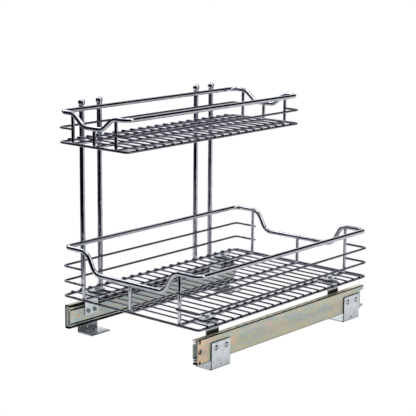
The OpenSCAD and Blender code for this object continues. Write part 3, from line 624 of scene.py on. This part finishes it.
def tray_beads(tray):
    """Weld beads where the tray's wires cross: floor wires on the runners and on the frame, side
    rails on the outer legs, and every leg under the top rail and against the frame. Each bead's
    middle lies where the wires touch or a little inside."""
    x, y = frame_half(tray)
    leg, leg_x, rows = leg_y(tray), tray["leg_x"], wire_rows(tray)
    legs, ends = (-leg_x, 0.0, leg_x), (-1, 1)
    z = FRAME_TO_FLOOR - FLOOR_D / 2
    under_top = tray["height"] - RAIL_D / 2 + 0.2
    places = {
        "runner": [(k, row, z) for row in rows for k in legs],
        "frame": [(k * (x - 0.2), row, z) for row in rows for k in ends],
        "leg": [(k * leg_x, s * (leg + LEG_D / 2 - WELD / 2), h)
                for h in tray["rails"] for k in ends for s in ends],
        "top": [(k, s * leg, under_top - (0 if k else tray["dip"])) for k in legs for s in ends],
        "foot": [(k, s * (y - FRAME_D / 2), -0.3) for k in legs for s in ends]}
    made = []
    for where, found in places.items():
        made += beads(np.array(found) + tray["at"], BEADS[where])
    return made


def post_beads():
    """Weld beads between the posts and the rails and frames of both trays."""
    x = -BASKET["width"] / 2 - RAIL_D / 2 + 0.1
    made = []
    for tray in (BASKET, SHELF):
        levels = [("top", tray["height"]), ("frame", 0.0)] + [("side", height) for height in tray["rails"]]
        for where, height in levels:
            made += beads([(x, y, tray["at"][2] + height) for y in POST_Y], POST_BEADS[where])
    return made


def post(y):
    """Straight round post."""
    path = np.array([[POST_X, y, POST_BOTTOM], [POST_X, y, CAP_Z]])
    return tube((path, np.array([Z, Z], float)), POST_D, X, 24, tip=0.12)


def ball_caps():
    """Ball caps: a half circle turned round the post's axis, with a short turned collar below it."""
    r = CAP_D / 2
    neck = POST_D / 2 + 0.15
    collar = neck + 0.45
    a = np.linspace(-math.acos(neck / r), math.radians(86), 18)
    radius = np.concatenate([[neck, collar, collar, neck], r * np.cos(a)])
    height = np.concatenate([np.array([-2.0, -1.8, -1.0, -0.7]) + r * math.sin(a[0]), r * np.sin(a)])
    skin, blocks = turned(radius, height, 28)
    return [(skin + (POST_X, y, CAP_Z), blocks) for y in POST_Y]


def rivet_heads():
    """Rivets of the feet: an outline of radius against depth turned round the rivet's axis. The
    head is a thin dish that lies in the foot's countersink, and the shank is plain."""
    depth = np.array([1.2, 1.15, 0.55, 0.12, 0.02, 0.6, 1.25, 3.1, 3.2])
    radius = np.array([0.4, 2.3, 3.6, 4.6, 4.85, 3.75, 2.45, 2.45, 0.4])
    skin, blocks = turned(radius, depth, 32)
    made = []
    for side in (-1, 1):
        head = skin[:, [2, 0, 1]] * (-side, side, 1) + (side * FOOT_X, 0, RIVET_Z)
        for foot in (-1, 1):
            for k in (-0.5, 0.5):
                made.append((head + (0, foot * FOOT_Y + k * RIVET_SPREAD, 0), blocks))
    return made


def chrome_piece(name, parts, stands_for=(), finish=CHROME):
    """Piece of the basket in one of the two chromes."""
    return piece(name, parts, finish, "basket", stands_for)


TRAYS = (("basket", BASKET, ("high", "low")), ("shelf", SHELF, ("side",)))
for label, tray, levels in TRAYS:
    chrome_piece(f"{label}_top_rail_wire", [top_rail(tray)], (f"{label}_top_rail",))
for label, tray, levels in TRAYS:
    for level, height in zip(levels, tray["rails"]):
        for hand, side in SIDES:
            rail = f"{label}_{level}_rail_{hand}"
            chrome_piece(f"{rail}_wire", [side_rail(tray, side, height)], (rail,), DARKENED_CHROME)
for label, tray, levels in TRAYS:
    chrome_piece(f"{label}_floor_frame_wire", [floor_frame(tray)], (f"{label}_floor_frame",), DARKENED_CHROME)
    chrome_piece(f"{label}_floor_rows", floor_wires(tray), (f"{label}_floor_wires",), DARKENED_CHROME)
    for where, x in (("left", -tray["leg_x"]), ("middle", 0.0), ("right", tray["leg_x"])):
        chrome_piece(f"{label}_runner_{where}_wire", [runner(tray, x, tray["dip"] if x == 0 else 0.0)],
                     (f"{label}_runner_{where}",))
    chrome_piece(f"{label}_weld_beads", tray_beads(tray))
for i, y in enumerate(POST_Y):
    chrome_piece(f"post_{i + 1}_tube", [post(y)], (f"post_{i + 1}",))
chrome_piece("post_ball_caps", ball_caps(), ("post_caps",))
chrome_piece("post_weld_beads", post_beads())
piece("foot_rivet_heads", rivet_heads(), RIVET_ZINC, "base", ("foot_rivets",))

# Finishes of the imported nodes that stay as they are, by how their names start
FINISH = {"outer_slide_right": YELLOW, "outer_slide_left": PALE, "middle_slide": PALE_MIDDLE,
          "inner_slide": PALE_INNER, "slide_buffers": BLACK, "foot_": ZINC, "carrier_screws": SCREW_ZINC,
          "carrier_": ZINC, "clamp_screws": SCREW_ZINC, "floor_clamps": ZINC, "outer_cage": STEEL,
          "inner_cage": STEEL, "outer_balls": STEEL, "inner_balls": STEEL}
for name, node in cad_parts.items():
    for start, finish in FINISH.items():
        if name.startswith(start):
            node.data.materials.clear()
            node.data.materials.append(finish)
            break


def flat_sheet(name, skin, material):
    """Single sheet for the studio: a grid of points, in metres, joined by quads."""
    rows, columns = skin.shape[:2]
    index = np.arange(rows * columns).reshape(rows, columns)
    faces = np.stack([index[:-1, :-1], index[1:, :-1], index[1:, 1:], index[:-1, 1:]], -1).reshape(-1, 4)
    mesh = bpy.data.meshes.new(name)
    mesh.from_pydata(skin.reshape(-1, 3).tolist(), [], faces.tolist())
    mesh.update()
    mesh.materials.append(material)
    made = bpy.data.objects.new(name, mesh)
    bpy.context.scene.collection.objects.link(made)
    return made


def background_rays(tree):
    """1 for rays from the camera and for those that gloss and glass send, else 0."""
    rays = add(tree, "LightPath").outputs
    found = rays["Is Camera Ray"]
    for kind in ("Is Glossy Ray", "Is Transmission Ray"):
        found = add(tree, "Math", {"operation": "MAXIMUM"}, {0: found, 1: rays[kind]}).outputs[0]
    return found


def matt_paint(tree, xyz, size, detail, shade):
    """Matt shader of two close shades in clouds of a size in millimetres."""
    grain = add(tree, "TexNoise", None, {"Vector": xyz, "Scale": per_mm(size), "Detail": detail})
    tint = add(tree, "ValToRGB", {"stops": [(0.3, shade[0]), (0.7, shade[1])]}, {"Fac": grain.outputs["Fac"]})
    return add(tree, "BsdfDiffuse", None, {"Color": tint.outputs["Color"]}).outputs["BSDF"]


def studio_floor():
    """White matt studio floor. The eye sees plain white with the object's soft shadow, because a
    share of pure white stands in for the backdrop's own light on rays that reach the eye. From
    below it is clear, so that the underside can be seen."""
    material, tree, xyz = blank("white matt studio floor")
    matt = matt_paint(tree, xyz, 60.0, 2.0, ("#f7f8f9", "#f9fafa"))
    white = add(tree, "Emission", None, {"Color": (1, 1, 1, 1), "Strength": 1.0})
    share = product(tree, background_rays(tree), 0.7)
    top = add(tree, "MixShader", None, {0: share, 1: matt, 2: white.outputs["Emission"]})
    clear = add(tree, "BsdfTransparent").outputs["BSDF"]
    below = add(tree, "NewGeometry").outputs["Backfacing"]
    both = add(tree, "MixShader", None, {0: below, 1: top.outputs["Shader"], 2: clear})
    add(tree, "OutputMaterial", None, {"Surface": both.outputs["Shader"]})
    return material


def matt_card(name, shade):
    """Matt paper card of a product studio, which the chrome mirrors as its darker lines."""
    material, tree, xyz = blank(name)
    add(tree, "OutputMaterial", None, {"Surface": matt_paint(tree, xyz, 90.0, 2.0, shade)})
    return material


# Floor: rings of points about the origin, with radii in metres
ring = np.array([0.0, 0.6, 1.5, 4.0, 10.0, 22.0])[:, None]
turn = np.linspace(0, 2 * math.pi, 49)[None]
flat_sheet("studio_floor", np.stack([ring * np.cos(turn), ring * np.sin(turn), 0 * ring * turn], -1)[:, ::-1],
           studio_floor())

NAVY = matt_card("matt navy studio card", ("#0d0e16", "#14161f"))
GREY = matt_card("matt grey studio card", ("#8f9098", "#999aa2"))
SLATE = matt_card("matt slate studio card", ("#4c4d56", "#55565f"))


def card(name, near, far, low, high, start, end, material=NAVY):
    """Card on part of a ring about the origin, seen by mirror surfaces alone: from one radius and
    height to another, in metres, and between two directions in degrees from +X."""
    a = np.radians(np.linspace(start, end, 25))[None]
    r, z = np.array([near, far])[:, None], np.array([low, high])[:, None]
    made = flat_sheet(name, np.stack([r * np.cos(a), r * np.sin(a), z + 0 * a], -1), material)
    for ray in ("camera", "diffuse", "shadow", "transmission", "volume_scatter"):
        setattr(made, "visible_" + ray, False)


card("front_card", 1.15, 1.15, 0.0, 1.7, -105.0, 0.0)
card("front_left_low_card", 1.15, 1.15, 0.0, 0.6, -165.0, -105.0)
card("front_left_card", 1.15, 1.15, 0.6, 1.2, -165.0, -105.0, SLATE)
card("front_left_high_card", 1.15, 1.15, 1.2, 1.7, -165.0, -105.0, GREY)
card("table_card", 0.6, 1.15, 0.001, 0.001, -105.0, -5.0)
card("table_left_card", 0.6, 1.15, 0.001, 0.001, -165.0, -105.0, GREY)
card("back_card", 2.6, 2.6, 0.5, 3.4, 20.0, 100.0)
card("left_card", 2.5, 2.5, 0.0, 1.2, 150.0, 195.0)


def placed(name, data, axes, place):
    """Object of the studio with its own X, Y and Z along three directions, at a place in metres."""
    made = bpy.data.objects.new(name, data)
    made.matrix_world = Matrix([[*(axis[i] for axis in axes), place[i]] for i in range(3)] + [[0, 0, 0, 1]])
    bpy.context.scene.collection.objects.link(made)
    return made


def lamp(name, place, target, size, power, colour):
    """Soft rectangular lamp that points at a target."""
    light = bpy.data.lights.new(name, "AREA")
    light.shape = "RECTANGLE"
    light.size, light.size_y = size
    light.energy = power
    light.color = linear(colour)[:3]
    back = unit(np.asarray(place, float) - np.asarray(target, float))
    right = unit(np.cross(Z, back))
    placed(name, light, (right, np.cross(back, right), back), place)


lamp("key_softbox", (1.9, 0.5, 1.7), (0, 0, 0.2), (1.3, 1.3), 20.0, "#fffdf8")
lamp("left_softbox", (-1.7, 0.1, 1.6), (0, 0, 0.2), (0.6, 1.2), 10.0, "#f8fbff")
lamp("top_softbox", (0.1, 0.2, 2.4), (0, 0, 0.2), (0.9, 0.9), 10.0, "#ffffff")

# World: plain pale light, and pure white for the rays that see the background
world = bpy.data.worlds.new("plain studio")
bpy.context.scene.world = world
world.use_nodes = True
tree = world.node_tree
tree.nodes.clear()
plain = add(tree, "Background", None, {"Color": linear("#f6f8fa"), "Strength": 0.55}).outputs["Background"]
white = add(tree, "Background", None, {"Color": (1, 1, 1, 1), "Strength": 1.0}).outputs["Background"]
mixed = add(tree, "MixShader", None, {0: background_rays(tree), 1: plain, 2: white})
add(tree, "OutputWorld", None, {"Surface": mixed.outputs["Shader"]})

# Camera at the place worked out from the photograph, turned and rolled as it was, with no shift
CAMERA_PLACE = np.array([1507.6097, -1790.2025, 706.8603])
AZIMUTH, ELEVATION, ROLL = (math.radians(a) for a in (40.726645, 11.932656, 0.555753))
FOCAL_LENGTH, SENSOR_WIDTH = 118.29197, 36.0
away = np.array([-math.sin(AZIMUTH) * math.cos(ELEVATION), math.cos(AZIMUTH) * math.cos(ELEVATION),
                 -math.sin(ELEVATION)])
level = np.array([math.cos(AZIMUTH), math.sin(AZIMUTH), 0.0])
upright = np.cross(level, away)
right = math.cos(ROLL) * level + math.sin(ROLL) * upright
top = math.cos(ROLL) * upright - math.sin(ROLL) * level
lens = bpy.data.cameras.new("photo_camera")
lens.lens, lens.sensor_width = FOCAL_LENGTH, SENSOR_WIDTH
lens.clip_start, lens.clip_end = 0.05, 100.0
bpy.context.scene.camera = placed("photo_camera", lens, (right, top, -away), CAMERA_PLACE * MM)
bpy.context.scene.view_settings.view_transform = "Standard"
